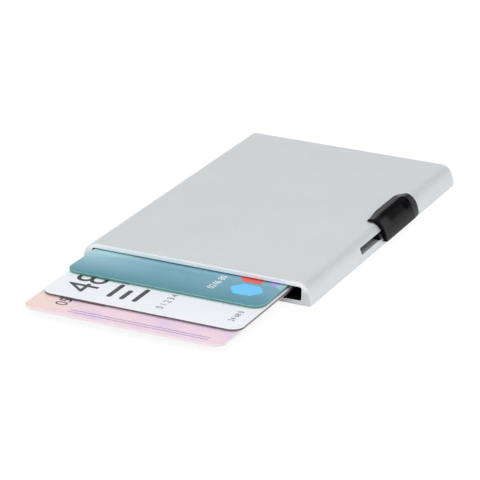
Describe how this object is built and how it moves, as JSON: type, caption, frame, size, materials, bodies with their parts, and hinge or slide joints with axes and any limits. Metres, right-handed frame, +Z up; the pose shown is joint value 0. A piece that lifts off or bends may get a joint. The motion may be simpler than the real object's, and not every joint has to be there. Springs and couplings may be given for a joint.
{
  "type": "card case",
  "caption": "Flat aluminium card case with rounded sides, fanned plastic cards and a black thumb grip on one side that slides a stepped pusher.",
  "frame": {"origin": "centre of the case's flat underside", "axes": "+Y from the mouth to the rear plug, +X towards the thumb grip, +Z up"},
  "size_m": [0.0651, 0.1393, 0.007],
  "materials": {
    "anodised_aluminium": "fine bead-blasted, clear anodised",
    "black_abs": "fine-textured moulding",
    "black_acetal": "smooth moulding",
    "spring_steel": "rolled strip",
    "rose_card": "printed laminate",
    "white_card": "printed laminate",
    "teal_card": "printed laminate"
  },
  "bodies": {
    "case": {"case_sleeve": "anodised_aluminium", "rear_plug": "black_abs", "plug_screw_left": "spring_steel", "plug_screw_right": "spring_steel", "lane_guide": "black_acetal", "card_spring": "spring_steel"},
    "thumb_slide_body": {"thumb_grip": "black_abs", "pusher_arm": "black_acetal", "stepped_pusher": "black_acetal", "friction_leaf": "spring_steel", "lap_pin_front": "spring_steel", "lap_pin_rear": "spring_steel"},
    "lower_card": {"card_bottom": "rose_card"},
    "middle_card": {"card_middle": "white_card"},
    "upper_card": {"card_top": "teal_card"}
  },
  "joints": [
    {"name": "thumb_slide", "type": "slide", "parent": "case", "child": "thumb_slide_body", "axis": [0, -1, 0], "range_m": [0, 0.0116]},
    {"name": "lower_card_slide", "type": "slide", "parent": "thumb_slide_body", "child": "lower_card", "axis": [0, -1, 0], "range_m": [-0.0413, 0.0277]},
    {"name": "middle_card_slide", "type": "slide", "parent": "thumb_slide_body", "child": "middle_card", "axis": [0, -1, 0], "range_m": [-0.0351, 0.0363]},
    {"name": "upper_card_slide", "type": "slide", "parent": "thumb_slide_body", "child": "upper_card", "axis": [0, -1, 0], "range_m": [-0.0238, 0.05]}
  ]
}
